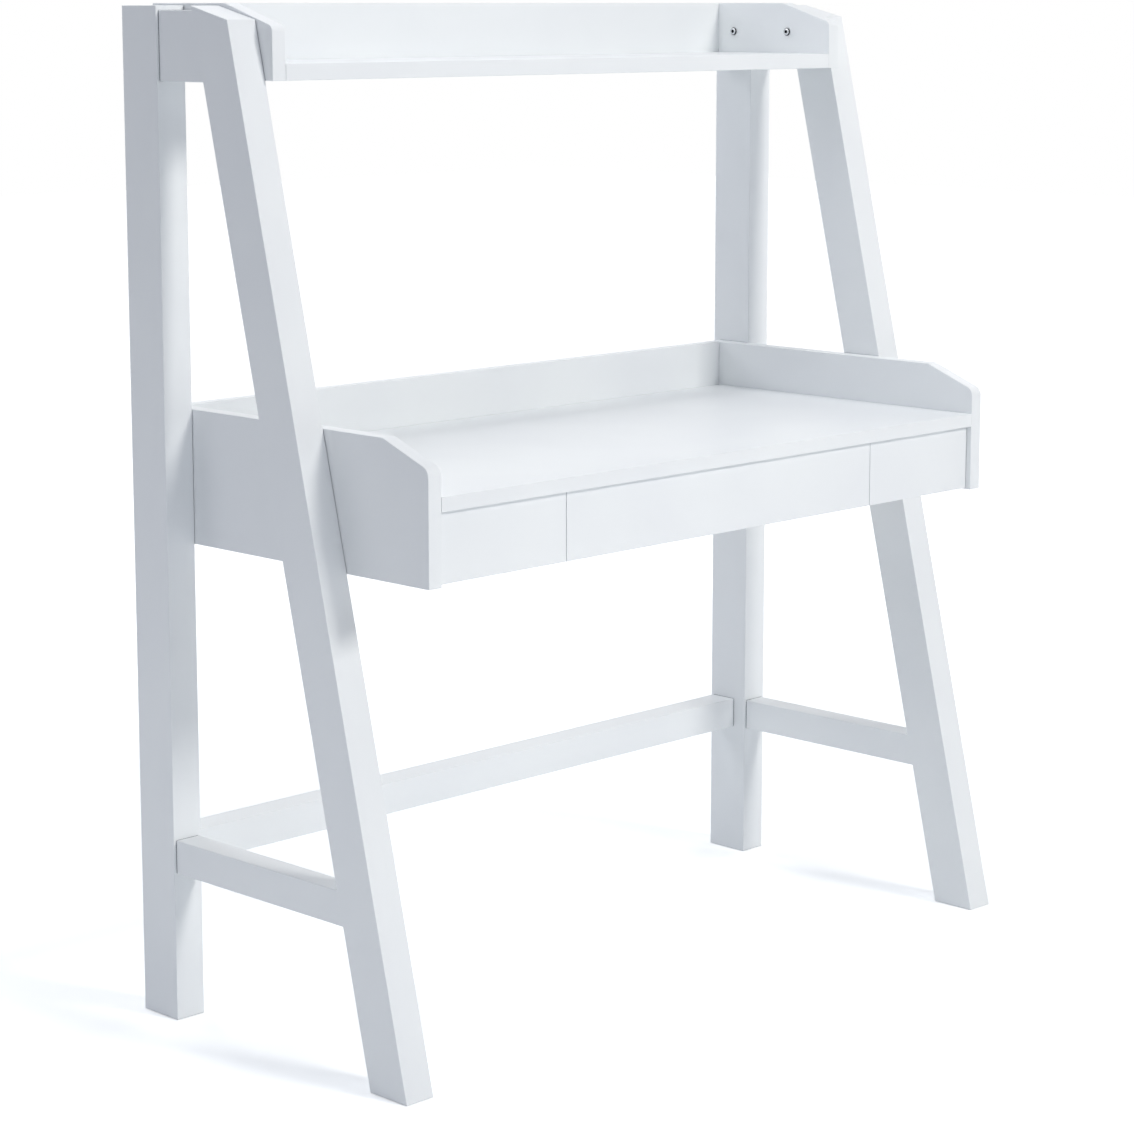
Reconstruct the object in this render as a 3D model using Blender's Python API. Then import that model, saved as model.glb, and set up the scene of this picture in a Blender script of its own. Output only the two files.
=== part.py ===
# A leaning desk with a hutch: two A-shaped side frames carry a three-drawer desk and a tray shelf.
# Metres, +Z up, front towards -Y. The origin is on the floor, under the middle of the footprint.

from math import acos, atan2, cos, hypot, pi, radians, sin, tan

import bmesh
import bpy
from mathutils import Matrix, Vector

# Fits and edges
FIT = 0.0003  # between pieces that touch, and round the balls of the slides
EDGE_EASE = 0.001  # radius of the painted edges
EASE_STEPS = 2
EASED_ANGLE = radians(40)  # edges sharper than this are eased
SMOOTH_ANGLE = radians(35)  # turned faces that meet flatter than this are shaded as one
ARC_STEPS = 5
SIDES = (("left", -1), ("right", 1))

# Side frames
OVERALL_WIDTH = 1.203
FOOTPRINT_DEPTH = 0.531  # from the posts' back face to the legs' toes
HEAD_DEPTH = 0.211  # from the posts' back face to the legs' front face, at the posts' top
FRAME_THICKNESS = 0.046
POST_DEPTH = 0.0715
POST_HEIGHT = 1.356
LEG_DEPTH = 0.0667  # square to the leg's length
LEG_TOP_DROP = 0.0175  # how far the leg's top falls towards the front
RAIL_INSET = 0.004  # arm and stretcher stand this far inside both faces of the frame
ARM_HEIGHT = 0.0905
ARM_DROP = 0.006  # arm's top below the post's top
STRETCHER_HEIGHT = 0.046
STRETCHER_LIFT = 0.2045
REAR_STRETCHER_DEPTH = 0.0455
REAR_STRETCHER_SETBACK = 0.0035

# Joints of the side frames
TENON_THICKNESS = 0.014
TENON_LENGTH = 0.018
TENON_SHOULDER = 0.010  # below the arm's tenon, and above and below the stretchers'
ARM_TENON_HEIGHT = 0.036
STUB_LENGTH = 0.010  # rear stretcher into the posts

# Desk
PANEL = 0.022  # sides of the desk and ends of the shelf
BACK_PANEL = 0.019
DESK_HEIGHT = 0.762
DESK_TOP = 0.019
DESK_FRONT = 0.529  # in front of the posts' back face
DESK_BACK = 0.0116
SIDE_RISE = 0.068  # sides and back above the desk top's surface
SIDE_DROP = 0.113  # sides and back below that surface
DESK_SLOPE_RUN = 0.083
DESK_SLOPE_FALL = 0.032
DESK_CORNER = 0.015
DIVIDER = 0.019
DIVIDER_LIFT = 0.006  # dividers' lower edge above the sides' lower edge

# Hutch shelf
SHELF_BOARD = 0.0215
SHELF_FRONT = 0.247
SHELF_BACK = 0.005
SHELF_END_RISE = 0.003  # shelf ends above the posts
SHELF_END_HEIGHT = 0.097
SHELF_SLOPE_RUN = 0.092
SHELF_SLOPE_FALL = 0.0285
SHELF_CORNER = 0.010

# Drawers
CENTRE_FRONT_WIDTH = 0.614
FRONT_GAP = 0.001  # beside the fronts
FRONT_TOP_GAP = 0.001  # a hairline, as the seams beside the fronts are
FRONT_LIFT = 0.002  # fronts' lower edge above the sides' lower edge
FRONT_THICKNESS = 0.018
FRONT_RECESS = 0.008  # fronts behind the sides' front edge
FRONT_STANDOFF = 0.002  # dividers behind the fronts
BOX_WALL = 0.012
BOX_BOTTOM = 0.006
BOX_LIFT = 0.011  # box above the front's lower edge: the lip that fingers pull
BOX_DROP = 0.012  # box below the front's upper edge
BOX_BACK_GAP = 0.052  # box in front of the desk's back panel
GROOVE_DEPTH = 0.006
GROOVE_LIFT = 0.008
DRAWER_TRAVEL = 0.300

# Slides, measured across from the cabinet's face and up from mid-height
SLIDE_THICKNESS = 0.0127
SLIDE_HEIGHT = 0.035  # over the rolled ball races
SLIDE_STEEL = 0.0012
SLIDE_REAR_GAP = 0.067  # slide in front of the desk's back panel
SLIDE_FRONT_GAP = 0.003  # slide behind the dividers' front edge
CHANNEL_DEPTH = 0.0098
CHANNEL_LIP = 0.0024
BALL_DIAMETER = 0.004
BALL_SEGMENTS = 8
BALL_RINGS = 6
BALLS_PER_ROW = 3
BALL_PITCH = 0.030
RACE_DEPTH = 0.0006  # how far the races are rolled into the flanges
RACE_STEPS = 4
CAGE_STEEL = 0.0008
CAGE_GAP = 0.0004  # cage to the cabinet member's web
CAGE_DEPTH = 0.0066
TONGUE_GAP = 0.0008  # drawer member's edges to the cage
CAGE_END = 0.015  # cage beyond its last balls
SCREW_DIAMETER = 0.0042
SCREW_HEAD_DIAMETER = 0.0072  # countersunk on the side where the balls run
SCREW_SIDES = 12
SCREWS_PER_MEMBER = 3
SCREW_INSET = 0.035  # first and last screw from the ends of the slide

# Bolts
BOLT_DIAMETER = 0.006
BOLT_LENGTH = 0.045
BOLT_HEAD_DIAMETER = 0.0115
BOLT_HEAD_HEIGHT = 0.0033
BOLT_RIM_HEIGHT = 0.0011  # straight part of the head
BOLT_SHOULDER_DIAMETER = 0.0098  # where the head's dome begins to flatten
BOLT_SHOULDER_HEIGHT = 0.0026
BOLT_CROWN_DIAMETER = 0.0075
BOLT_SOCKET = 0.004  # across flats
BOLT_SOCKET_DEPTH = 0.002
BOLT_POINT = 0.001
BOLT_SIDES = 18  # three to each flat of the socket
SHELF_BOLT_LIFT = 0.0322  # above the shelf board's surface
SHELF_BOLT_POST_INSET = 0.0157  # behind the post's front face
SHELF_BOLT_LEG_INSET = 0.0122  # in front of the leg's back face
DESK_BOLT_POST_INSET = 0.0205
DESK_BOLT_POST_LIFT = 0.040  # above the sides' lower edge
DESK_BOLT_LEG_LIFT = 0.015

# Finishes: linear colour, roughness, metallic
PAINTED_WOOD = ((0.84, 0.86, 0.89), 0.42, 0.0)
BIRCH_PLYWOOD = ((0.66, 0.50, 0.33), 0.55, 0.0)
WHITE_FACED_BOARD = ((0.80, 0.82, 0.85), 0.50, 0.0)
ZINC_PLATED_STEEL = ((0.60, 0.61, 0.63), 0.35, 1.0)
NICKEL_PLATED_STEEL = ((0.57, 0.58, 0.60), 0.22, 1.0)

# Heights and faces that several pieces share
LEG_LEAN = atan2(FOOTPRINT_DEPTH - HEAD_DEPTH, POST_HEIGHT)
FRAME_FACE = OVERALL_WIDTH / 2 - FRAME_THICKNESS  # frames' inner faces, from the middle
PANEL_FACE = FRAME_FACE - FIT - PANEL  # inner faces of the desk sides and shelf ends
BETWEEN_PANELS = 2 * (PANEL_FACE - FIT)
ARM_TOP = POST_HEIGHT - ARM_DROP
SIDE_BOTTOM = DESK_HEIGHT - SIDE_DROP
SIDE_TOP = DESK_HEIGHT + SIDE_RISE
UNDER_TOP = DESK_HEIGHT - DESK_TOP
BAY_BACK = DESK_BACK + BACK_PANEL + FIT
SHELF_TOP = POST_HEIGHT + SHELF_END_RISE
SHELF_BOTTOM = SHELF_TOP - SHELF_END_HEIGHT
FRONT_FACE = DESK_FRONT - FRONT_RECESS
BAY_FRONT = FRONT_FACE - FRONT_THICKNESS - FRONT_STANDOFF
FRONT_BOTTOM = SIDE_BOTTOM + FRONT_LIFT
FRONT_HEIGHT = UNDER_TOP - FRONT_TOP_GAP - FRONT_BOTTOM
DIVIDER_CENTRE = (CENTRE_FRONT_WIDTH + FRONT_GAP) / 2


def ahead(depth):
    """Y of what lies this far in front of the posts' back face."""
    return FOOTPRINT_DEPTH / 2 - depth


def leg_front(height):
    """Depth of the leg's front face at a height."""
    return FOOTPRINT_DEPTH - height * tan(LEG_LEAN)


def leg_back(height):
    """Depth of the leg's back face at a height."""
    return leg_front(height) - LEG_DEPTH / cos(LEG_LEAN)


# Meshes


def block(low, high):
    """A box between two corners."""
    low, high = Vector(low), Vector(high)
    bm = bmesh.new()
    bmesh.ops.create_cube(bm, size=1)
    bmesh.ops.scale(bm, vec=high - low, verts=bm.verts)
    bmesh.ops.translate(bm, vec=(low + high) / 2, verts=bm.verts)
    return bm


def swept(outline, sweep):
    """A flat outline swept along a vector into a closed solid."""
    bm = bmesh.new()
    face = bm.faces.new([bm.verts.new(point) for point in outline])
    moved = bmesh.ops.extrude_face_region(bm, geom=[face])["geom"]
    bmesh.ops.translate(bm, vec=sweep, verts=[v for v in moved if isinstance(v, bmesh.types.BMVert)])
    bmesh.ops.recalc_face_normals(bm, faces=bm.faces)
    return bm


def side_on(outline, width):
    """A slab of that width, from an outline of (depth, height) points seen from the side."""
    return swept([(-width / 2, -depth, height) for depth, height in outline], (width, 0, 0))


def turned(rings, sides):
    """A closed solid along X, from (x, radius) rings. A third value gives a ring six flats at that radius."""
    bm = bmesh.new()
    turn = Matrix.Rotation(pi / 2, 4, "Y")
    bmesh.ops.create_circle(bm, cap_ends=True, radius=1, segments=sides, matrix=turn)
    loop, edges = list(bm.verts), list(bm.edges)
    for index, (x, radius, *flats) in enumerate(rings):
        if index:
            made = bmesh.ops.extrude_edge_only(bm, edges=edges)["geom"]
            loop = [v for v in made if isinstance(v, bmesh.types.BMVert)]
            edges = [e for e in made if isinstance(e, bmesh.types.BMEdge)]
        for vert in loop:
            angle = atan2(vert.co.z, vert.co.y)
            reach = radius / cos(angle % (pi / 3) - pi / 6) if flats else radius
            vert.co = (x, reach * cos(angle), reach * sin(angle))
    bmesh.ops.edgeloop_fill(bm, edges=edges)
    bmesh.ops.recalc_face_normals(bm, faces=bm.faces)
    return bm


def rounded(corners):
    """Outline points of (depth, height, radius) corners, with an arc at each corner that has a radius."""
    points = []
    for index, (depth, height, radius) in enumerate(corners):
        corner = Vector((depth, height))
        if not radius:
            points.append(corner)
            continue
        into = (Vector(corners[index - 1][:2]) - corner).normalized()
        out = (Vector(corners[(index + 1) % len(corners)][:2]) - corner).normalized()
        half_angle = into.angle(out) / 2
        reach = radius / tan(half_angle)
        centre = corner + (into + out).normalized() * hypot(radius, reach)
        start = corner + into * reach - centre
        turn = -start.angle_signed(corner + out * reach - centre) / ARC_STEPS
        points += [centre + Matrix.Rotation(turn * step, 2) @ start for step in range(ARC_STEPS + 1)]
    return points


# Objects


def linked(name, data, at, parent):
    made = bpy.data.objects.new(name, data)
    bpy.context.scene.collection.objects.link(made)
    made.location = at
    made.parent = parent
    return made


def filled_mesh(name, bm):
    mesh = bpy.data.meshes.new(name)
    bm.to_mesh(mesh)
    bm.free()
    return mesh


def finished(name, finish):
    """A material of one piece's own."""
    colour, roughness, metallic = finish
    material = bpy.data.materials.new(name)
    material.use_nodes = True
    shader = material.node_tree.nodes["Principled BSDF"]
    shader.inputs["Base Color"].default_value = (*colour, 1)
    shader.inputs["Roughness"].default_value = roughness
    shader.inputs["Metallic"].default_value = metallic
    return material


def piece(name, bm, finish, at, parent, ease=0, limit="ANGLE"):
    """One sub-part, with its sharp edges, or those that carry a weight, rounded by the ease radius."""
    made = linked(name, filled_mesh(name, bm), at, parent)
    made.data.materials.append(finished(name, finish))
    if ease:
        bevel = made.modifiers.new("eased edges", "BEVEL")
        bevel.width = ease
        bevel.segments = EASE_STEPS
        bevel.limit_method = limit
        bevel.angle_limit = EASED_ANGLE
    return made


def guide(name, bm, at, parent):
    """A shape that only cuts or extends other pieces."""
    made = linked(name, filled_mesh(name, bm), at, parent)
    made.hide_render = True
    made.display_type = "WIRE"
    return made


def boolean(made, operation, tool):
    change = made.modifiers.new(tool.name, "BOOLEAN")
    change.operation = operation
    change.object = tool


def cut(tool, *pieces):
    for made in pieces:
        boolean(made, "DIFFERENCE", tool)


def empty(name, at, parent=None):
    return linked(name, None, at, parent)


# Side frames


def rail(name, bottom, top, tenon_top, at, desk, post, leg):
    """A rail between post and leg, with a tenon at each end and mortises for them."""
    outline = [
        (POST_DEPTH + FIT, bottom),
        (leg_back(bottom) - FIT, bottom),
        (leg_back(top) - FIT, top),
        (POST_DEPTH + FIT, top),
    ]
    width = FRAME_THICKNESS - 2 * RAIL_INSET
    made = piece(name, side_on(outline, width), PAINTED_WOOD, at, desk, EDGE_EASE)
    low = Vector((-TENON_THICKNESS / 2, -leg_back(tenon_top) - TENON_LENGTH, bottom + TENON_SHOULDER))
    high = Vector((TENON_THICKNESS / 2, -POST_DEPTH + TENON_LENGTH, tenon_top))
    boolean(made, "UNION", guide(name + "_tenon", block(low, high), at, desk))
    room = Vector((FIT, FIT, FIT))
    cut(guide(name + "_mortise", block(low - room, high + room), at, desk), post, leg)


def side_frame(side, hand, desk):
    at = (hand * (OVERALL_WIDTH - FRAME_THICKNESS) / 2, ahead(0), 0)
    post_outline = [(0, 0), (POST_DEPTH, 0), (POST_DEPTH, POST_HEIGHT), (0, POST_HEIGHT)]
    post_shape = side_on(post_outline, FRAME_THICKNESS)
    post = piece(side + "_rear_post", post_shape, PAINTED_WOOD, at, desk, EDGE_EASE)
    front_top = POST_HEIGHT - LEG_TOP_DROP
    leg_outline = [
        (leg_back(0), 0),
        (leg_front(0), 0),
        (leg_front(front_top), front_top),
        (leg_back(POST_HEIGHT), POST_HEIGHT),
    ]
    leg = piece(side + "_front_leg", side_on(leg_outline, FRAME_THICKNESS), PAINTED_WOOD, at, desk, EDGE_EASE)
    arm_bottom = ARM_TOP - ARM_HEIGHT
    arm_tenon_top = arm_bottom + TENON_SHOULDER + ARM_TENON_HEIGHT
    rail(side + "_top_arm", arm_bottom, ARM_TOP, arm_tenon_top, at, desk, post, leg)
    top = STRETCHER_LIFT + STRETCHER_HEIGHT
    rail(side + "_side_stretcher", STRETCHER_LIFT, top, top - TENON_SHOULDER, at, desk, post, leg)
    return post, leg


def rear_stretcher(desk, posts):
    """The rail between the posts, held by a stub tenon at each end."""
    at = (0, ahead(REAR_STRETCHER_SETBACK + REAR_STRETCHER_DEPTH / 2), STRETCHER_LIFT + STRETCHER_HEIGHT / 2)
    half = Vector((FRAME_FACE - FIT, REAR_STRETCHER_DEPTH / 2, STRETCHER_HEIGHT / 2))
    made = piece("rear_stretcher", block(-half, half), PAINTED_WOOD, at, desk, EDGE_EASE)
    stub = half - Vector((-STUB_LENGTH - FIT, TENON_SHOULDER, TENON_SHOULDER))
    boolean(made, "UNION", guide("rear_stretcher_stubs", block(-stub, stub), at, desk))
    room = stub + Vector((FIT, FIT, FIT))
    cut(guide("rear_stretcher_mortises", block(-room, room), at, desk), *posts)


# Panels of the desk and the shelf


def upright(name, hand, back, front, bottom, top, slope_run, slope_fall, corner, desk):
    """A desk side or shelf end, whose top slopes down to a rounded front corner."""
    outline = rounded(
        [
            (back, bottom, 0),
            (front, bottom, 0),
            (front, top - slope_fall, corner),
            (front - slope_run, top, corner),
            (back, top, 0),
        ]
    )
    at = (hand * (PANEL_FACE + PANEL / 2), ahead(0), 0)
    return piece(name, side_on(outline, PANEL), PAINTED_WOOD, at, desk, EDGE_EASE)


def board(name, left, right, back, front, bottom, top, desk, ease=EDGE_EASE):
    """A flat board between two sides, depths and heights. Its ends butt against panels and stay square."""
    half = Vector((right - left, front - back, top - bottom)) / 2
    at = ((left + right) / 2, ahead((back + front) / 2), (bottom + top) / 2)
    shape = block(-half, half)
    weight = shape.edges.layers.float.new("bevel_weight_edge")
    for edge in shape.edges:
        start, end = (corner.co for corner in edge.verts)
        edge[weight] = 1 if abs(end.x - start.x) > half.x else 0
    return piece(name, shape, PAINTED_WOOD, at, desk, ease, "WEIGHT")


def desk_box(desk):
    """Top, back and dividers. The two sides are made with the bolts that hold them."""
    half = BETWEEN_PANELS / 2
    board("desk_back_panel", -half, half, DESK_BACK, DESK_BACK + BACK_PANEL, SIDE_BOTTOM, SIDE_TOP, desk)
    board("desk_top", -half, half, BAY_BACK, DESK_FRONT, UNDER_TOP, DESK_HEIGHT, desk)
    for side, hand in SIDES:
        middle = hand * DIVIDER_CENTRE
        left, right = middle - DIVIDER / 2, middle + DIVIDER / 2
        low, high = SIDE_BOTTOM + DIVIDER_LIFT, UNDER_TOP - FIT
        board(side + "_drawer_divider", left, right, BAY_BACK, BAY_FRONT, low, high, desk, 0)


def shelf(desk):
    """Board and back of the hutch shelf."""
    half = BETWEEN_PANELS / 2
    back = SHELF_BACK + BACK_PANEL
    board("shelf_back_panel", -half, half, SHELF_BACK, back, SHELF_BOTTOM, SHELF_TOP, desk)
    board("shelf_board", -half, half, back + FIT, SHELF_FRONT, SHELF_BOTTOM, SHELF_BOTTOM + SHELF_BOARD, desk)


# Bolts


def bolt_mesh():
    """A low round head with a hexagon socket on a plain shank, pointing to -X."""
    shank, head = BOLT_DIAMETER / 2, BOLT_HEAD_DIAMETER / 2
    shoulder, crown = BOLT_SHOULDER_DIAMETER / 2, BOLT_CROWN_DIAMETER / 2
    rings = [
        (-BOLT_LENGTH, shank - BOLT_POINT),
        (-BOLT_LENGTH + BOLT_POINT, shank),
        (0, shank),
        (0, head),
        (BOLT_RIM_HEIGHT, head),
        (BOLT_SHOULDER_HEIGHT, shoulder),
        (BOLT_HEAD_HEIGHT, crown),
        (BOLT_HEAD_HEIGHT, BOLT_SOCKET / 2, "flats"),
        (BOLT_HEAD_HEIGHT - BOLT_SOCKET_DEPTH, BOLT_SOCKET / 2, "flats"),
    ]
    mesh = filled_mesh("bolt", turned(rings, BOLT_SIDES))
    mesh.materials.append(finished("bolt", NICKEL_PLATED_STEEL))
    mesh.shade_smooth()
    mesh.set_sharp_from_angle(angle=SMOOTH_ANGLE)
    return mesh


def bolt(name, mesh, hand, depth, height, desk, *drilled):
    """A bolt from inside, through a panel and into the frame, with its hole in both."""
    at = (hand * (PANEL_FACE - FIT), ahead(depth), height)
    made = linked(name, mesh, at, desk)
    made.rotation_euler.z = pi if hand > 0 else 0
    radius = BOLT_DIAMETER / 2 + FIT
    ends = [(-BOLT_LENGTH - FIT, radius), (BOLT_HEAD_HEIGHT, radius)]
    hole = guide(name + "_hole", turned(ends, BOLT_SIDES), at, desk)
    hole.rotation_euler = made.rotation_euler
    cut(hole, *drilled)


def bolted_panels(side, hand, mesh, post, leg, desk):
    """Desk side and shelf end of one frame, with two bolts each."""
    desk_side = upright(
        f"desk_{side}_side", hand, DESK_BACK, DESK_FRONT, SIDE_BOTTOM, SIDE_TOP,
        DESK_SLOPE_RUN, DESK_SLOPE_FALL, DESK_CORNER, desk,
    )
    height = SIDE_BOTTOM + DESK_BOLT_POST_LIFT
    depth = POST_DEPTH - DESK_BOLT_POST_INSET
    bolt(f"{side}_desk_rear_bolt", mesh, hand, depth, height, desk, desk_side, post)
    height = SIDE_BOTTOM + DESK_BOLT_LEG_LIFT
    depth = (leg_back(height) + leg_front(height)) / 2
    bolt(f"{side}_desk_front_bolt", mesh, hand, depth, height, desk, desk_side, leg)
    shelf_end = upright(
        f"shelf_{side}_end", hand, SHELF_BACK, SHELF_FRONT, SHELF_BOTTOM, SHELF_TOP,
        SHELF_SLOPE_RUN, SHELF_SLOPE_FALL, SHELF_CORNER, desk,
    )
    height = SHELF_BOTTOM + SHELF_BOARD + SHELF_BOLT_LIFT
    depth = POST_DEPTH - SHELF_BOLT_POST_INSET
    bolt(f"{side}_shelf_rear_bolt", mesh, hand, depth, height, desk, shelf_end, post)
    depth = leg_back(height) + SHELF_BOLT_LEG_INSET
    bolt(f"{side}_shelf_front_bolt", mesh, hand, depth, height, desk, shelf_end, leg)


# Drawers: pieces are placed from the middle of the front's lower outer edge, with +Y to the back


def drawer_box(name, width, box_left, box_right, length, body):
    """Front, grooved sides, back and let-in bottom."""
    low, high = BOX_LIFT, FRONT_HEIGHT - BOX_DROP
    groove_low = low + GROOVE_LIFT
    groove_high = groove_low + BOX_BOTTOM + 2 * FIT
    start, end = FRONT_THICKNESS + FIT, FRONT_THICKNESS + length
    front_shape = block((-width / 2, 0, 0), (width / 2, FRONT_THICKNESS, FRONT_HEIGHT))
    front = piece(name + "_front", front_shape, PAINTED_WOOD, (0, 0, 0), body, EDGE_EASE)
    let_in = BOX_WALL - GROOVE_DEPTH
    groove_low_corner = (box_left + let_in, FRONT_THICKNESS - GROOVE_DEPTH, groove_low)
    groove_high_corner = (box_right - let_in, FRONT_THICKNESS + GROOVE_DEPTH, groove_high)
    cut(guide(name + "_front_groove", block(groove_low_corner, groove_high_corner), (0, 0, 0), body), front)
    for side, outer, inward in (("left", box_left, 1), ("right", box_right, -1)):
        inner, groove = outer + inward * BOX_WALL, outer + inward * let_in
        outline = [
            (outer, start, low),
            (inner, start, low),
            (inner, start, groove_low),
            (groove, start, groove_low),
            (groove, start, groove_high),
            (inner, start, groove_high),
            (inner, start, high),
            (outer, start, high),
        ]
        piece(f"{name}_{side}_side", swept(outline, (0, end - start, 0)), BIRCH_PLYWOOD, (0, 0, 0), body)
    inside_left, inside_right = box_left + BOX_WALL + FIT, box_right - BOX_WALL - FIT
    back_shape = block((inside_left, end - BOX_WALL, groove_high), (inside_right, end, high))
    piece(name + "_back", back_shape, BIRCH_PLYWOOD, (0, 0, 0), body)
    bottom_low = Vector(groove_low_corner) + Vector((FIT, FIT, FIT))
    bottom_high = (box_right - let_in - FIT, end, groove_high - FIT)
    piece(name + "_bottom", block(bottom_low, bottom_high), WHITE_FACED_BOARD, (0, 0, 0), body)


def race(ball, level, radius, turn):
    """Arc of a race about a ball's centre. It starts and ends at one level, and runs inward for turn 1."""
    across, height = ball
    reach = acos(abs(level - height) / radius)
    up = 1 if level > height else -1
    angles = [turn * reach * (2 * step / RACE_STEPS - 1) for step in range(RACE_STEPS + 1)]
    return [(across + radius * sin(angle), height + up * radius * cos(angle)) for angle in angles]


def slide_sections():
    """Upper halves of the cabinet member, drawer member and ball cage, and the place of the upper balls."""
    steel, flange, race_radius = SLIDE_STEEL, SLIDE_HEIGHT / 2 - RACE_DEPTH, BALL_DIAMETER / 2 + FIT
    cage_start = steel + CAGE_GAP
    cage_web, cage_end = cage_start + CAGE_STEEL, cage_start + CAGE_DEPTH
    ball = ((cage_web + cage_end) / 2, SLIDE_HEIGHT / 2 - steel - race_radius)
    lip_inside, lip_bottom, under = CHANNEL_DEPTH - steel, flange - CHANNEL_LIP, flange - steel
    cabinet = [(0, flange), *race(ball, flange, race_radius + steel, 1), (CHANNEL_DEPTH, flange)]
    cabinet += [(CHANNEL_DEPTH, lip_bottom), (lip_inside, lip_bottom), (lip_inside, under)]
    cabinet += [*race(ball, under, race_radius, -1), (steel, under)]
    tongue, top = cage_web + TONGUE_GAP, ball[1] - race_radius + RACE_DEPTH
    drawer = [(SLIDE_THICKNESS, top), *race(ball, top, race_radius, -1), (tongue, top), (tongue, top - steel)]
    drawer += [*race(ball, top - steel, race_radius + steel, 1), (SLIDE_THICKNESS - steel, top - steel)]
    outer, inner = ball[1] + CAGE_STEEL / 2, ball[1] - CAGE_STEEL / 2
    cage = [(cage_start, outer), (cage_end, outer), (cage_end, inner), (cage_web, inner)]
    return cabinet, drawer, cage, ball


def screw_holes(name, across, facing, places, middle, parent):
    """Cutter for a row of countersunk holes through a member's web, wide on the side that it faces."""
    bm = bmesh.new()
    for place in places:
        at = Vector((across, place, middle)) - parent.matrix_world.translation
        turn = Matrix.Translation(at) @ Matrix.Rotation(facing * pi / 2, 4, "Y")
        bmesh.ops.create_cone(
            bm, cap_ends=True, segments=SCREW_SIDES, depth=SLIDE_STEEL + 2 * FIT,
            radius1=SCREW_DIAMETER / 2, radius2=SCREW_HEAD_DIAMETER / 2, matrix=turn,
        )
    return guide(name, bm, (0, 0, 0), parent)


def slide(name, face, inward, start, end, middle, desk, body, cages):
    """A slide on one face of a bay: the drawer's member rides on caged balls in the cabinet's channel."""

    def member(part, points, near, far, owner):
        mirrored = [(x, -z) for x, z in reversed(points)]
        places = [Vector((face + inward * (x + FIT), near, z + middle)) for x, z in points + mirrored]
        outline = [place - owner.matrix_world.translation for place in places]
        return piece(name + part, swept(outline, (0, far - near, 0)), ZINC_PLATED_STEEL, (0, 0, 0), owner)

    cabinet_points, drawer_points, cage_points, ball = slide_sections()
    cabinet_member = member("_cabinet_member", cabinet_points, start, end, desk)
    drawer_member = member("_drawer_member", drawer_points, start, end, body)
    first, last = start + SCREW_INSET, end - SCREW_INSET
    screws = [first + (last - first) * step / (SCREWS_PER_MEMBER - 1) for step in range(SCREWS_PER_MEMBER)]
    across = face + inward * (FIT + SLIDE_STEEL / 2)
    cut(screw_holes(name + "_cabinet_holes", across, inward, screws, middle, desk), cabinet_member)
    across = face + inward * (FIT + SLIDE_THICKNESS - SLIDE_STEEL / 2)
    cut(screw_holes(name + "_drawer_holes", across, -inward, screws, middle, body), drawer_member)
    cage_length = (BALLS_PER_ROW - 1) * BALL_PITCH + 2 * CAGE_END
    cage_near = start + DRAWER_TRAVEL / 2
    cage = member("_ball_cage", cage_points, cage_near, cage_near + cage_length, cages)
    balls = bmesh.new()
    for row in (-1, 1):
        for index in range(BALLS_PER_ROW):
            along = cage_near + CAGE_END + index * BALL_PITCH
            place = Vector((face + inward * (ball[0] + FIT), along, middle + row * ball[1]))
            turn = Matrix.Translation(place - cages.matrix_world.translation)
            bmesh.ops.create_uvsphere(
                balls, u_segments=BALL_SEGMENTS, v_segments=BALL_RINGS, radius=BALL_DIAMETER / 2, matrix=turn
            )
    boolean(cage, "UNION", guide(name + "_balls", balls, (0, 0, 0), cages))


def drawer(name, front_left, front_right, bay_left, bay_right, desk):
    """A drawer between two faces of its bay, with a slide on each."""
    at = ((front_left + front_right) / 2, ahead(FRONT_FACE), FRONT_BOTTOM)
    body = empty(name, at, desk)
    cages = empty(name + "_ball_cages", at, desk)
    bpy.context.view_layer.update()
    beside = SLIDE_THICKNESS + 2 * FIT
    length = FRONT_FACE - FRONT_THICKNESS - BAY_BACK - BOX_BACK_GAP
    box_left, box_right = bay_left + beside - at[0], bay_right - beside - at[0]
    drawer_box(name, front_right - front_left, box_left, box_right, length, body)
    start, end = ahead(BAY_FRONT - SLIDE_FRONT_GAP), ahead(BAY_BACK + SLIDE_REAR_GAP)
    middle = FRONT_BOTTOM + (BOX_LIFT + FRONT_HEIGHT - BOX_DROP) / 2
    for side, face, inward in (("left", bay_left, 1), ("right", bay_right, -1)):
        slide(f"{name}_{side}_slide", face, inward, start, end, middle, desk, body, cages)


def drawers(desk):
    edge = CENTRE_FRONT_WIDTH / 2
    outer_edge = PANEL_FACE - FRONT_GAP
    inner_face, outer_face = DIVIDER_CENTRE - DIVIDER / 2, DIVIDER_CENTRE + DIVIDER / 2
    drawer("left_drawer", -outer_edge, -edge - FRONT_GAP, -PANEL_FACE, -outer_face, desk)
    drawer("centre_drawer", -edge, edge, -inner_face, inner_face, desk)
    drawer("right_drawer", edge + FRONT_GAP, outer_edge, outer_face, PANEL_FACE, desk)


# The whole desk

for old in list(bpy.data.objects):
    bpy.data.objects.remove(old)

whole = empty("desk", (0, 0, 0))
bolts = bolt_mesh()
frames = {side: side_frame(side, hand, whole) for side, hand in SIDES}
rear_stretcher(whole, [post for post, leg in frames.values()])
for side, hand in SIDES:
    bolted_panels(side, hand, bolts, *frames[side], whole)
desk_box(whole)
shelf(whole)
drawers(whole)
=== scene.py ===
import math

import bmesh
import bpy
from mathutils import Matrix, Vector


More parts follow.
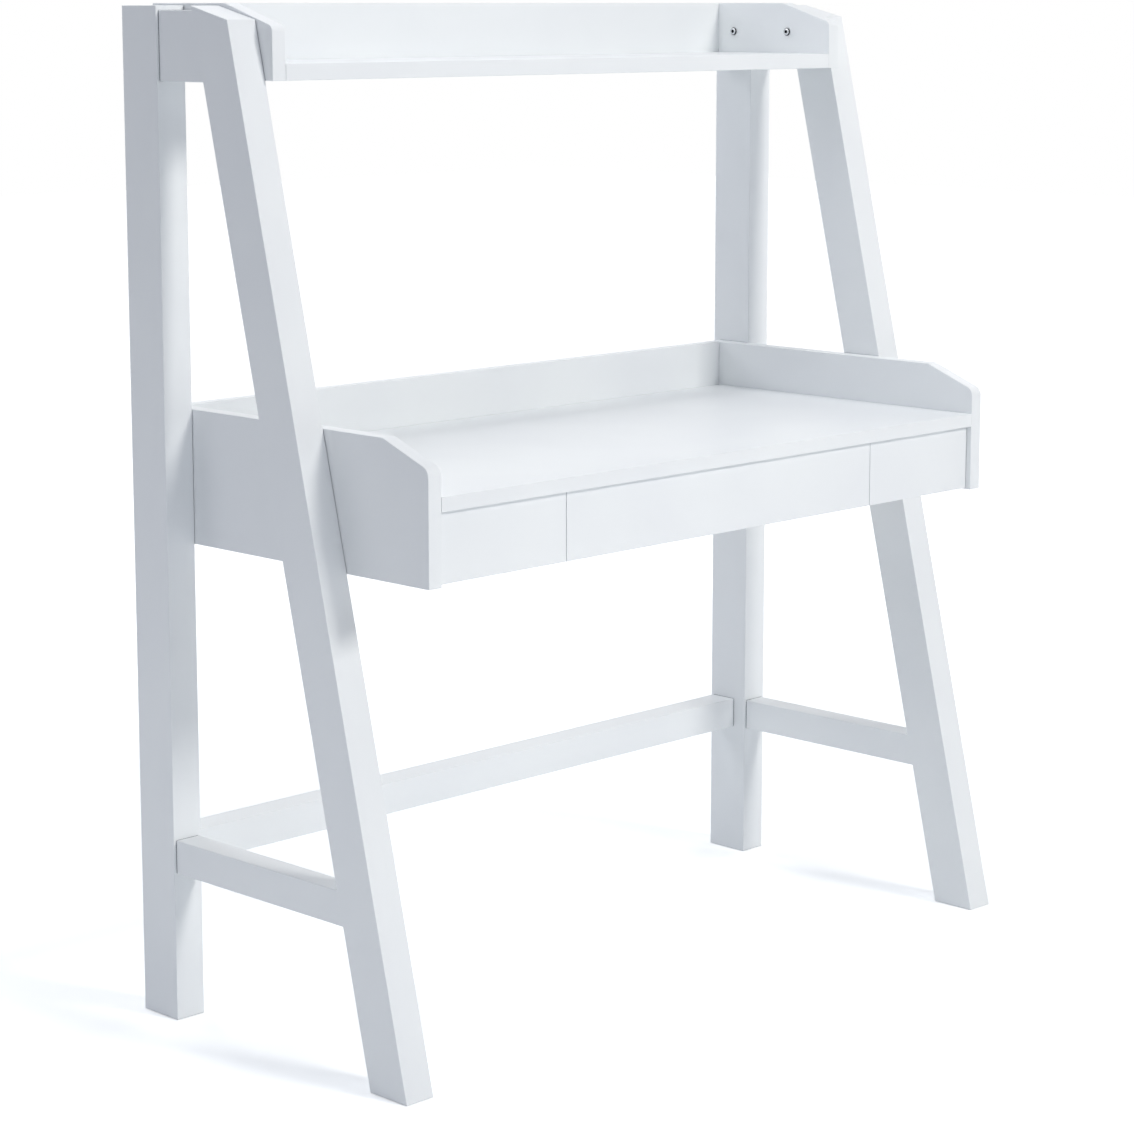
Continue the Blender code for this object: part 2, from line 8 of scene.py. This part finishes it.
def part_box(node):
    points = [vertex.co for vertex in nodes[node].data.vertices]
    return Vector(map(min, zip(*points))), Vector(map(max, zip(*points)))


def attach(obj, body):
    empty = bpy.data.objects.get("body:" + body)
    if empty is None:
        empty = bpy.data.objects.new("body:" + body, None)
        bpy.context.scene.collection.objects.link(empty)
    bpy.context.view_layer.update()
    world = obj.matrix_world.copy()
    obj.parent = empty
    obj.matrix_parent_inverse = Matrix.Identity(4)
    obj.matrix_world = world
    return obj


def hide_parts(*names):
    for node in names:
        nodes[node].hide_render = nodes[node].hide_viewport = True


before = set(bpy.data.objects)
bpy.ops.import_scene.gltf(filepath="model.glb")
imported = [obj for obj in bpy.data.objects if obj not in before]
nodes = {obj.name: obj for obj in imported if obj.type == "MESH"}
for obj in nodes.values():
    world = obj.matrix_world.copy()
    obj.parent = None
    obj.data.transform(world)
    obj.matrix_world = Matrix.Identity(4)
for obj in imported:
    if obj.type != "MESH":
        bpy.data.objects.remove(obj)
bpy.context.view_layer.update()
mm = 0.001
print("frame loaded:", len(nodes), "nodes")


# Small helpers

def hexColour(code, alpha=1.0):  # sRGB hex to the linear colour that shaders take
    parts = [int(code[i:i + 2], 16) / 255 for i in (1, 3, 5)]
    return [c / 12.92 if c <= 0.04045 else ((c + 0.055) / 1.055) ** 2.4 for c in parts] + [alpha]


def addNode(tree, kind, settings=None, links=None):
    node = tree.nodes.new(kind)
    for name, value in (settings or {}).items():
        if isinstance(name, int) or name in node.inputs:
            node.inputs[name].default_value = value
        else:
            setattr(node, name, value)
    for name, source in (links or {}).items():
        tree.links.new(source, node.inputs[name])
    return node


def startMaterial(name):
    material = bpy.data.materials.new(name)
    material.use_nodes = True
    tree = material.node_tree
    return material, tree, tree.nodes["Principled BSDF"]


def setRamp(node, spread, codes):  # spread is where the first colour ends and the second begins
    for element, place, code in zip(node.color_ramp.elements, spread, codes):
        element.position = place
        element.color = hexColour(code)


def dress(material, names):
    for name in names:
        mesh = nodes[name].data
        mesh.materials.clear()
        mesh.materials.append(material)


def addPiece(name, bm, material, body):
    mesh = bpy.data.meshes.new(name)
    bm.to_mesh(mesh)
    bm.free()
    mesh.materials.append(material)
    piece = bpy.data.objects.new(name, mesh)
    bpy.context.scene.collection.objects.link(piece)
    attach(piece, body)
    return piece


# Materials

# Satin lacquer sprayed on sanded wood: an even cool white, a soft broad sheen, and faint orange peel
# with the grain of the wood just telling through it along each rail. Where a rail meets its neighbour,
# painted shade darkens the joint to a thin dark line, by how little open sky reaches into it.
lacquer = {
    "white": "#EEF1F2",
    "shade": "#EAEDEF",  # where the coat is thinner
    "spread": (0.35, 0.65),
    "patch": 240 * mm,  # size of the slow drift in the coat
    "peel": 5 * mm,  # real peel is about 2 mm, drawn coarser so that it shows
    "peelHeight": 0.02 * mm,
    "grain": 4 * mm,  # across the grain
    "grainStretch": 28,
    "grainHeight": 0.025 * mm,
    "roughness": (0.36, 0.46),
    "ior": 1.5,
    "jointShade": "#656C76",  # painted shade in the joints of the rails
    "jointShadeReach": 2.0 * mm,
    "jointShadeOpen": (0.3, 0.72),  # share of open sky where the line is full, and where it ends
}


def satinLacquer(name, along):  # along is the axis of the grain, or None on smooth board, which gets no painted joint shade
    s = lacquer
    material, tree, shader = startMaterial(name)
    at = addNode(tree, "ShaderNodeTexCoord").outputs["Object"]
    drift = addNode(tree, "ShaderNodeTexNoise", {"Scale": 1 / s["patch"], "Detail": 2}, {"Vector": at})
    tint = addNode(tree, "ShaderNodeValToRGB", links={"Fac": drift.outputs["Fac"]})
    setRamp(tint, s["spread"], (s["shade"], s["white"]))
    colour = tint.outputs["Color"]
    peel = addNode(tree, "ShaderNodeTexNoise", {"Scale": 1 / s["peel"], "Detail": 1}, {"Vector": at})
    bump = addNode(tree, "ShaderNodeBump", {"Distance": s["peelHeight"], "Strength": 1},
                   {"Height": peel.outputs["Fac"]})
    if along is not None:
        squeeze = [1.0, 1.0, 1.0]
        squeeze[along] = 1 / s["grainStretch"]
        run = addNode(tree, "ShaderNodeMapping", {"Scale": squeeze}, {"Vector": at})
        grain = addNode(tree, "ShaderNodeTexNoise", {"Scale": 1 / s["grain"], "Detail": 3},
                        {"Vector": run.outputs["Vector"]})
        bump = addNode(tree, "ShaderNodeBump", {"Distance": s["grainHeight"], "Strength": 1},
                       {"Height": grain.outputs["Fac"], "Normal": bump.outputs["Normal"]})
        # painted shade: the colour turns to the joint shade where ambient occlusion finds little open sky
        shut, clear = s["jointShadeOpen"]
        sky = addNode(tree, "ShaderNodeAmbientOcclusion", {"samples": 8, "Distance": s["jointShadeReach"]})
        jointShadeMask = addNode(tree, "ShaderNodeMapRange", {"From Min": shut, "From Max": clear},
                       {"Value": sky.outputs["AO"]})
        colour = addNode(tree, "ShaderNodeMix", {"data_type": "RGBA", 6: hexColour(s["jointShade"])},
                         {0: jointShadeMask.outputs["Result"], 7: colour}).outputs[2]
    low, high = s["roughness"]
    sheen = addNode(tree, "ShaderNodeMapRange", {"To Min": low, "To Max": high},
                    {"Value": drift.outputs["Fac"]})
    tree.links.new(colour, shader.inputs["Base Color"])
    tree.links.new(sheen.outputs["Result"], shader.inputs["Roughness"])
    tree.links.new(bump.outputs["Normal"], shader.inputs["Normal"])
    shader.inputs["IOR"].default_value = s["ior"]
    return material


# Birch plywood under clear lacquer: pale straw faces with fine streaks along the board, and edges
# that show the plies as thin light and dark lines.
birch = {
    "pale": "#E3CBA4",
    "streak": "#CFAE7F",
    "spread": (0.38, 0.62),
    "darkPly": "#A98254",
    "ply": 1.33 * mm,
    "edgeBelow": 0.5,  # a face that points less than this across the plies is an edge
    "grain": 1.6 * mm,
    "grainStretch": 40,
    "grainHeight": 0.03 * mm,
    "roughness": 0.45,
}


def birchPlywood(name, through, along):  # through is the axis across the plies
    s = birch
    material, tree, shader = startMaterial(name)
    at = addNode(tree, "ShaderNodeTexCoord").outputs["Object"]
    squeeze = [1.0, 1.0, 1.0]
    squeeze[along] = 1 / s["grainStretch"]
    run = addNode(tree, "ShaderNodeMapping", {"Scale": squeeze}, {"Vector": at})
    grain = addNode(tree, "ShaderNodeTexNoise", {"Scale": 1 / s["grain"], "Detail": 4, "Roughness": 0.6},
                    {"Vector": run.outputs["Vector"]})
    face = addNode(tree, "ShaderNodeValToRGB", links={"Fac": grain.outputs["Fac"]})
    setRamp(face, s["spread"], (s["streak"], s["pale"]))
    split = addNode(tree, "ShaderNodeSeparateXYZ", links={"Vector": at})
    layer = addNode(tree, "ShaderNodeMath", {"operation": "PINGPONG", 1: s["ply"]},
                    {0: split.outputs[through]})
    turn = addNode(tree, "ShaderNodeMath", {"operation": "GREATER_THAN", 1: s["ply"] / 2},
                   {0: layer.outputs[0]})
    facing = addNode(tree, "ShaderNodeSeparateXYZ",
                     links={"Vector": addNode(tree, "ShaderNodeNewGeometry").outputs["Normal"]})
    flat = addNode(tree, "ShaderNodeMath", {"operation": "ABSOLUTE"}, {0: facing.outputs[through]})
    edge = addNode(tree, "ShaderNodeMath", {"operation": "LESS_THAN", 1: s["edgeBelow"]},
                   {0: flat.outputs[0]})
    lines = addNode(tree, "ShaderNodeMath", {"operation": "MULTIPLY"},
                    {0: turn.outputs[0], 1: edge.outputs[0]})
    colour = addNode(tree, "ShaderNodeMix", {"data_type": "RGBA", 7: hexColour(s["darkPly"])},
                     {0: lines.outputs[0], 6: face.outputs["Color"]})
    bump = addNode(tree, "ShaderNodeBump", {"Distance": s["grainHeight"], "Strength": 1},
                   {"Height": grain.outputs["Fac"]})
    tree.links.new(colour.outputs[2], shader.inputs["Base Color"])
    tree.links.new(bump.outputs["Normal"], shader.inputs["Normal"])
    shader.inputs["Roughness"].default_value = s["roughness"]
    return material


# White-faced hardboard: a plain printed white with a fine pebbled emboss that dulls its sheen.
hardboard = {
    "white": "#E6E9EC",
    "shade": "#E2E6E9",
    "spread": (0.35, 0.65),
    "patch": 60 * mm,
    "pebble": 3 * mm,  # real emboss is under 1 mm, drawn coarser so that it shows
    "pebbleHeight": 0.03 * mm,
    "roughness": 0.5,
}


def whiteFacedHardboard(name):
    s = hardboard
    material, tree, shader = startMaterial(name)
    at = addNode(tree, "ShaderNodeTexCoord").outputs["Object"]
    drift = addNode(tree, "ShaderNodeTexNoise", {"Scale": 1 / s["patch"], "Detail": 2}, {"Vector": at})
    tint = addNode(tree, "ShaderNodeValToRGB", links={"Fac": drift.outputs["Fac"]})
    setRamp(tint, s["spread"], (s["shade"], s["white"]))
    pebble = addNode(tree, "ShaderNodeTexVoronoi", {"Scale": 1 / s["pebble"]}, {"Vector": at})
    bump = addNode(tree, "ShaderNodeBump", {"Distance": s["pebbleHeight"], "Strength": 1},
                   {"Height": pebble.outputs["Distance"]})
    tree.links.new(tint.outputs["Color"], shader.inputs["Base Color"])
    tree.links.new(bump.outputs["Normal"], shader.inputs["Normal"])
    shader.inputs["Roughness"].default_value = s["roughness"]
    return material


# Zinc-plated steel strip: bluish grey, with streaks along the rolled length and a clouded sheen.
zinc = {
    "light": "#C3C7CC",
    "dark": "#A7ACB3",
    "spread": (0.3, 0.7),
    "streak": 2.5 * mm,
    "streakStretch": 60,
    "roughness": (0.28, 0.42),
}


def zincPlatedSteel(name):
    s = zinc
    material, tree, shader = startMaterial(name)
    at = addNode(tree, "ShaderNodeTexCoord").outputs["Object"]
    run = addNode(tree, "ShaderNodeMapping", {"Scale": (1, 1 / s["streakStretch"], 1)}, {"Vector": at})
    streak = addNode(tree, "ShaderNodeTexNoise", {"Scale": 1 / s["streak"], "Detail": 3},
                     {"Vector": run.outputs["Vector"]})
    tint = addNode(tree, "ShaderNodeValToRGB", links={"Fac": streak.outputs["Fac"]})
    setRamp(tint, s["spread"], (s["dark"], s["light"]))
    low, high = s["roughness"]
    sheen = addNode(tree, "ShaderNodeMapRange", {"To Min": low, "To Max": high},
                    {"Value": streak.outputs["Fac"]})
    tree.links.new(tint.outputs["Color"], shader.inputs["Base Color"])
    tree.links.new(sheen.outputs["Result"], shader.inputs["Roughness"])
    shader.inputs["Metallic"].default_value = 1
    return material


# Nickel-plated steel: a bright, even mirror with faint tumbling marks.
nickel = {
    "light": "#D6D9DD",
    "dark": "#B6BABF",
    "spread": (0.3, 0.7),
    "mark": 0.8 * mm,
    "markHeight": 0.004 * mm,
    "roughness": 0.2,
}


def nickelPlatedSteel(name):
    s = nickel
    material, tree, shader = startMaterial(name)
    at = addNode(tree, "ShaderNodeTexCoord").outputs["Object"]
    marks = addNode(tree, "ShaderNodeTexNoise", {"Scale": 1 / s["mark"], "Detail": 2}, {"Vector": at})
    tint = addNode(tree, "ShaderNodeValToRGB", links={"Fac": marks.outputs["Fac"]})
    setRamp(tint, s["spread"], (s["dark"], s["light"]))
    bump = addNode(tree, "ShaderNodeBump", {"Distance": s["markHeight"], "Strength": 1},
                   {"Height": marks.outputs["Fac"]})
    tree.links.new(tint.outputs["Color"], shader.inputs["Base Color"])
    tree.links.new(bump.outputs["Normal"], shader.inputs["Normal"])
    shader.inputs["Metallic"].default_value = 1
    shader.inputs["Roughness"].default_value = s["roughness"]
    return material


# Black oxide on steel: a deep black film, faintly blue, with a dull and slightly mottled sheen.
# On the bolts this black is painted shade: it darkens the socket walls and the rim under the head.
oxideShade = {
    "light": "#24272B",
    "dark": "#16181A",
    "spread": (0.3, 0.7),
    "mottle": 1.2 * mm,
    "roughness": (0.42, 0.58),
}


def blackOxideShadeSteel(name):
    s = oxideShade
    material, tree, shader = startMaterial(name)
    at = addNode(tree, "ShaderNodeTexCoord").outputs["Object"]
    mottle = addNode(tree, "ShaderNodeTexNoise", {"Scale": 1 / s["mottle"], "Detail": 3}, {"Vector": at})
    tint = addNode(tree, "ShaderNodeValToRGB", links={"Fac": mottle.outputs["Fac"]})
    setRamp(tint, s["spread"], (s["dark"], s["light"]))
    low, high = s["roughness"]
    sheen = addNode(tree, "ShaderNodeMapRange", {"To Min": low, "To Max": high},
                    {"Value": mottle.outputs["Fac"]})
    tree.links.new(tint.outputs["Color"], shader.inputs["Base Color"])
    tree.links.new(sheen.outputs["Result"], shader.inputs["Roughness"])
    shader.inputs["Metallic"].default_value = 1
    return material


uprightLacquer = satinLacquer("satinLacquerUpright", 2)
crossLacquer = satinLacquer("satinLacquerCross", 0)
deepLacquer = satinLacquer("satinLacquerDeep", 1)
boardLacquer = satinLacquer("satinLacquerBoard", None)
zincSteel = zincPlatedSteel("zincPlatedSteel")
nickelSteel = nickelPlatedSteel("nickelPlatedSteel")
oxideShadeSteel = blackOxideShadeSteel("blackOxideShadeSteel")
sidePly = birchPlywood("birchPlywoodSide", 0, 1)
backPly = birchPlywood("birchPlywoodBack", 1, 0)
bottomBoard = whiteFacedHardboard("whiteFacedHardboard")
print("materials made:", len(bpy.data.materials))


# The solids that stay, with their finishes

hands = ("left", "right")
drawers = ("left_drawer", "centre_drawer", "right_drawer")
slideParts = ("cabinet_member", "drawer_member", "ball_cage")
dress(uprightLacquer, [f"{hand}_{part}" for hand in hands for part in ("rear_post", "front_leg")])
dress(deepLacquer, [f"{hand}_{part}" for hand in hands for part in ("top_arm", "side_stretcher")])
dress(crossLacquer, ["rear_stretcher"])
boards = ["desk_left_side", "desk_right_side", "desk_back_panel", "desk_top"]
boards += ["shelf_board", "shelf_back_panel", "shelf_left_end", "shelf_right_end"]
boards += [f"{hand}_drawer_divider" for hand in hands] + [f"{drawer}_front" for drawer in drawers]
dress(boardLacquer, boards)
for drawer in drawers:
    dress(sidePly, [f"{drawer}_{hand}_side" for hand in hands])
    dress(backPly, [f"{drawer}_back"])
    dress(bottomBoard, [f"{drawer}_bottom"])
    dress(zincSteel, [f"{drawer}_{hand}_slide_{part}" for hand in hands for part in slideParts])
print("solids dressed")


# Eased edges shade as one round, and flat faces stay flat

easing = {"merge": 0.01 * mm, "sharpAngle": math.radians(50)}


def roundedShading():
    tree = bpy.data.node_groups.new("roundedShading", "GeometryNodeTree")
    tree.interface.new_socket("Geometry", in_out="INPUT", socket_type="NodeSocketGeometry")
    tree.interface.new_socket("Geometry", in_out="OUTPUT", socket_type="NodeSocketGeometry")
    source = addNode(tree, "NodeGroupInput")
    merged = addNode(tree, "GeometryNodeMergeByDistance", {"Distance": easing["merge"]},
                     {"Geometry": source.outputs[0]})
    smooth = addNode(tree, "GeometryNodeSetShadeSmooth", {"Shade Smooth": True},
                     {"Geometry": merged.outputs[0]})
    angle = addNode(tree, "GeometryNodeInputMeshEdgeAngle")
    sharp = addNode(tree, "FunctionNodeCompare", {"operation": "GREATER_THAN", 1: easing["sharpAngle"]},
                    {0: angle.outputs["Unsigned Angle"]})
    creased = addNode(tree, "GeometryNodeSetShadeSmooth", {"domain": "EDGE", "Shade Smooth": False},
                      {"Geometry": smooth.outputs[0], "Selection": sharp.outputs[0]})
    addNode(tree, "NodeGroupOutput", links={0: creased.outputs[0]})
    return tree


shading = roundedShading()
for node in nodes.values():
    node.modifiers.new("rounded shading", "NODES").node_group = shading
    flat = node.modifiers.new("flat faces", "WEIGHTED_NORMAL")
    flat.keep_sharp = True
print("edges softened")


# Fasteners, made along +X with the paint or the steel at 0

fastener = {"weld": 0.001 * mm, "crease": math.radians(35)}


def turnedShape(profile, steps):  # profile is (height, radius) from the tip to the socket's mouth
    bm = bmesh.new()
    corners = [bm.verts.new((height, 0, radius)) for height, radius in profile]
    edges = [bm.edges.new(pair) for pair in zip(corners, corners[1:])]
    bmesh.ops.spin(bm, geom=corners + edges, cent=(0, 0, 0), axis=(1, 0, 0), angle=math.tau, steps=steps,
                   use_merge=True)
    bmesh.ops.remove_doubles(bm, verts=bm.verts, dist=fastener["weld"])
    return bm


def sinkSocket(bm, outline, depths):  # outline turns an angle into a place, depths are (mm, size)
    for height, size in depths:
        rim = [edge for edge in bm.edges if edge.is_boundary]
        for corner in bmesh.ops.extrude_edge_only(bm, edges=rim)["geom"]:
            if isinstance(corner, bmesh.types.BMVert):
                y, z = outline(math.atan2(corner.co.y, corner.co.z))
                corner.co = (height * mm, y * size, z * size)
    bmesh.ops.remove_doubles(bm, verts=bm.verts, dist=fastener["weld"])
    bmesh.ops.recalc_face_normals(bm, faces=bm.faces)


def setInPlace(across, depth, height, facing):  # facing is the side along X that shows the head, 1 or -1
    turn = Matrix.Rotation(0 if facing > 0 else math.pi, 4, "Z")
    return Matrix.Translation((across, depth, height)) @ turn


def creaseEdges(piece):
    piece.data.shade_smooth()
    piece.data.set_sharp_from_angle(angle=fastener["crease"])


# Bolts: a black washer and flank against the paint, a low bright dome, a black hexagon socket; the black
# is painted shade in the socket and round the head's rim
bolt = {
    "shank": 3.0 * mm, "length": 45 * mm, "point": 1.0 * mm,
    "washer": 5.75 * mm, "washerHeight": 1.5 * mm, "washerEase": 0.2 * mm,
    "dome": [(1.5, 5.2), (1.9, 5.25), (2.3, 5.1), (2.7, 4.8), (3.0, 4.4), (3.2, 3.9), (3.3, 3.3)],  # mm
    "mouth": (3.3 * mm, 3.05 * mm),
    "blackBelow": 2.3 * mm,  # the washer and the flank of the head, black as painted shade
    "socket": 2.5 * mm,  # half across flats
    "socketDepths": [(3.05, 1.0), (1.1, 1.0), (1.0, 0.94), (0.6, 0.0)],  # mm, share of the socket
    "steps": 48,
}


def hexagon(angle):
    reach = bolt["socket"] / math.cos(angle % (math.pi / 3) - math.pi / 6)
    return reach * math.sin(angle), reach * math.cos(angle)


def makeBolt():
    s = bolt
    ease = s["washerEase"]
    tip = -s["length"]
    profile = [(tip, 0), (tip, s["shank"] - s["point"]), (tip + s["point"], s["shank"])]
    profile += [(0, s["shank"]), (0, s["washer"] - ease), (ease, s["washer"])]
    profile += [(s["washerHeight"] - ease, s["washer"]), (s["washerHeight"], s["washer"] - ease)]
    profile += [(height * mm, radius * mm) for height, radius in s["dome"]] + [s["mouth"]]
    bm = turnedShape(profile, s["steps"])
    sinkSocket(bm, hexagon, s["socketDepths"])
    # painted shade: the collar and the socket walls take the black steel
    for face in bm.faces:
        middle = face.calc_center_median()
        reach = math.hypot(middle.y, middle.z)
        collar = reach > s["shank"] and 0 <= middle.x < s["blackBelow"]
        socket = reach < s["mouth"][1] and 0 < middle.x < s["socketDepths"][0][0] * mm
        face.material_index = 1 if collar or socket else 0
    return bm


boltNodes = [f"{hand}_{place}_bolt" for hand in hands
             for place in ("desk_rear", "desk_front", "shelf_rear", "shelf_front")]
for name in boltNodes:
    low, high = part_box(name)
    facing = 1 if name.startswith("left") else -1
    seat = (high[0] if facing > 0 else low[0]) - facing * bolt["dome"][-1][0] * mm
    place = setInPlace(seat, (low[1] + high[1]) / 2, (low[2] + high[2]) / 2, facing)
    bm = makeBolt()
    bmesh.ops.transform(bm, matrix=place, verts=bm.verts)
    piece = addPiece(f"{name}_detailed", bm, nickelSteel, "desk")
    piece.data.materials.append(oxideShadeSteel)
    creaseEdges(piece)
    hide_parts(name)
print("bolts made:", len(boltNodes))


# Slide screws: countersunk heads with a cross recess, flush with the steel
screw = {
    "head": 3.25 * mm, "headDepth": 1.2 * mm, "edge": 0.12 * mm,
    "shank": 1.75 * mm, "length": 8 * mm, "point": 1.6 * mm,
    "recessReach": 1.75 * mm, "recessHalf": 0.55 * mm,
    "recessDepths": [(-0.12, 1.0), (-1.0, 0.7), (-1.25, 0.0)],  # mm, share of the recess
    "mouth": 2.1 * mm,
    "inset": 35 * mm,  # first and last screw from the ends of the slide
    "steps": 24,  # six to each arm of the cross
}


def cross(angle):
    long, half = screw["recessReach"], screw["recessHalf"]
    middle = (long + half) / 2
    quarter = [(0, long), (half, long), (half, middle), (half, half), (middle, half), (long, half)]
    turn, step = divmod(round(angle % math.tau / (math.tau / screw["steps"])), len(quarter))
    y, z = quarter[step]
    for _ in range(turn % 4):
        y, z = z, -y
    return y, z


def makeScrew():
    s = screw
    profile = [(-s["length"], 0), (s["point"] - s["length"], s["shank"]), (-s["headDepth"], s["shank"])]
    profile += [(-s["edge"], s["head"]), (0, s["head"]), (0, s["mouth"])]
    bm = turnedShape(profile, s["steps"])
    sinkSocket(bm, cross, s["recessDepths"])
    return bm


def addScrews(name, rows, body):  # a row is (x of the heads, the side they face, the member's box)
    single = bpy.data.meshes.new("slideScrew")
    bm = makeScrew()
    bm.to_mesh(single)
    bm.free()
    group = bmesh.new()
    count = 0
    for across, facing, (low, high) in rows:
        near, far = low[1] + screw["inset"], high[1] - screw["inset"]
        for depth in (near, (near + far) / 2, far):
            start = len(group.verts)
            group.from_mesh(single)
            group.verts.ensure_lookup_table()
            place = setInPlace(across, depth, (low[2] + high[2]) / 2, facing)
            bmesh.ops.transform(group, matrix=place, verts=group.verts[start:])
            count += 1
    bpy.data.meshes.remove(single)
    creaseEdges(addPiece(name, group, zincSteel, body))
    return count


cabinetRows = []
screwCount = 0
for drawer in drawers:
    drawerRows = []
    for hand, inward in (("left", 1), ("right", -1)):
        web = screw["headDepth"]  # the head fills the thickness of the steel
        low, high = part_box(f"{drawer}_{hand}_slide_cabinet_member")
        cabinetRows.append(((low[0] if inward > 0 else high[0]) + inward * web, inward, (low, high)))
        low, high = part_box(f"{drawer}_{hand}_slide_drawer_member")
        drawerRows.append(((high[0] if inward > 0 else low[0]) - inward * web, -inward, (low, high)))
    screwCount += addScrews(f"{drawer}_slide_screws", drawerRows, drawer)
screwCount += addScrews("cabinet_slide_screws", cabinetRows, "desk")
print("slide screws made:", screwCount)


# Stage, light and camera

stage = {
    "floorSize": 30, "floorDrop": 0.2 * mm, "floor": "#F1F4F6", "floorRoughness": 0.9,
    "sky": "#FFFFFF",
    "glowNear": 0.36, "glowFar": 1.0,  # lifts the floor to white, less near the object, where shadows lie
    "nearRadius": 1.0, "farRadius": 4.5,
    "ambient": "#D9E3FE", "ambientStrength": 0.175,
}


def seenDirectly(tree):  # 1 for what the camera, a mirror or a window shows, 0 for light on the object
    path = addNode(tree, "ShaderNodeLightPath")
    mirror = addNode(tree, "ShaderNodeMath", {"operation": "MAXIMUM"},
                     {0: path.outputs["Is Camera Ray"], 1: path.outputs["Is Glossy Ray"]})
    return addNode(tree, "ShaderNodeMath", {"operation": "MAXIMUM"},
                   {0: mirror.outputs[0], 1: path.outputs["Is Transmission Ray"]}).outputs[0]


def makeFloor():
    s = stage
    bm = bmesh.new()
    bmesh.ops.create_grid(bm, x_segments=1, y_segments=1, size=s["floorSize"] / 2)
    bmesh.ops.translate(bm, vec=(0, 0, -s["floorDrop"]), verts=bm.verts)
    mesh = bpy.data.meshes.new("studioFloor")
    bm.to_mesh(mesh)
    bm.free()
    material, tree, shader = startMaterial("studioFloor")
    shader.inputs["Base Color"].default_value = hexColour(s["floor"])
    shader.inputs["Roughness"].default_value = s["floorRoughness"]
    shader.inputs["Specular IOR Level"].default_value = 0
    at = addNode(tree, "ShaderNodeTexCoord").outputs["Object"]
    reach = addNode(tree, "ShaderNodeVectorMath", {"operation": "LENGTH"}, {0: at})
    glow = addNode(tree, "ShaderNodeMapRange",
                   {"interpolation_type": "SMOOTHSTEP",
                    "From Min": s["nearRadius"], "From Max": s["farRadius"],
                    "To Min": s["glowNear"], "To Max": s["glowFar"]},
                   {"Value": reach.outputs["Value"]})
    lift = addNode(tree, "ShaderNodeMath", {"operation": "MULTIPLY"},
                   {0: seenDirectly(tree), 1: glow.outputs["Result"]})
    shader.inputs["Emission Color"].default_value = hexColour(s["sky"])
    tree.links.new(lift.outputs[0], shader.inputs["Emission Strength"])
    mesh.materials.append(material)
    floor = bpy.data.objects.new("studioFloor", mesh)
    bpy.context.scene.collection.objects.link(floor)


def makeSky():
    s = stage
    world = bpy.data.worlds.new("studioSky")
    world.use_nodes = True
    tree = world.node_tree
    tree.nodes.clear()
    white = addNode(tree, "ShaderNodeBackground", {"Color": hexColour(s["sky"]), "Strength": 1})
    soft = addNode(tree, "ShaderNodeBackground",
                   {"Color": hexColour(s["ambient"]), "Strength": s["ambientStrength"]})
    mixed = addNode(tree, "ShaderNodeMixShader",
                    links={0: seenDirectly(tree), 1: soft.outputs[0], 2: white.outputs[0]})
    addNode(tree, "ShaderNodeOutputWorld", links={"Surface": mixed.outputs[0]})
    bpy.context.scene.world = world


# A lamp aims at the middle of the desk and is plain white, unless its row says otherwise. With glare
# off it doesn't show in the sheen, where it would turn the tops plain white from the far side.
anyLamp = {"aim": (0, 0, 0.7), "colour": "#FFFFFF", "glare": True}
lights = {
    "keySoftbox": {"at": (1.9, -8.4, 6.1), "size": 2.0, "power": 467, "colour": "#FFFCF7", "glare": False},
    "frontLeftFill": {"at": (-4.0, -8.0, 4.0), "size": 3.0, "power": 53.5, "colour": "#F9FBFF"},
    "leftBackFill": {"at": (-4.0, 3.0, 3.5), "size": 2.5, "power": 34.8, "colour": "#F9F9FF"},
    "leftLowFill": {"at": (-1.9, -0.3, 0.35), "size": 0.6, "power": 1.9, "aim": (-0.6, 0, 0.35)},
    "boomFill": {"at": (-0.45, -0.9, 2.3), "size": 0.6, "power": 2.6, "aim": (0.5, 0, 0.9)},
    "topSoftbox": {"at": (-0.5, 0.2, 3.2), "size": 1.4, "power": 16, "colour": "#FCFDFF"},
    "rightPanel": {"at": (3.4, 0.0, 1.6), "size": 2.6, "power": 37, "aim": (0, 0, 0.8)},
    "kneeFill": {"at": (-0.35, -1.2, 0.4), "size": 0.5, "power": 1.35, "aim": (0.6, 0, 0.4)},
    "backSoftbox": {"at": (0.0, 3.0, 2.5), "size": 1.4, "power": 44, "glare": False},
}


def makeLights():
    for name, row in lights.items():
        s = {**anyLamp, **row}
        lamp = bpy.data.lights.new(name, "AREA")
        lamp.shape = "SQUARE"
        lamp.size = s["size"]
        lamp.energy = s["power"]
        lamp.color = hexColour(s["colour"])[:3]
        made = bpy.data.objects.new(name, lamp)
        made.location = s["at"]
        made.visible_camera = False
        made.visible_glossy = s["glare"]
        made.rotation_euler = (Vector(s["aim"]) - Vector(s["at"])).to_track_quat("-Z", "Y").to_euler()
        bpy.context.scene.collection.objects.link(made)


view = {
    "at": (-3.011, -2.9246, 1.3587),
    "yaw": 45.375, "pitch": 9.354,  # degrees to the right and down
    "lens": 95.55, "sensor": 36,  # mm
    "shift": -0.06,
}


def makeCamera():
    s = view
    lens = bpy.data.cameras.new("photoCamera")
    lens.lens = s["lens"]
    lens.sensor_width = s["sensor"]
    lens.shift_y = s["shift"]
    camera = bpy.data.objects.new("photoCamera", lens)
    camera.location = s["at"]
    camera.rotation_euler = (math.radians(90 - s["pitch"]), 0, -math.radians(s["yaw"]))
    bpy.context.scene.collection.objects.link(camera)
    bpy.context.scene.camera = camera


makeFloor()
makeSky()
makeLights()
makeCamera()
bpy.context.scene.view_settings.view_transform = "Standard"
print("stage, light and camera set")
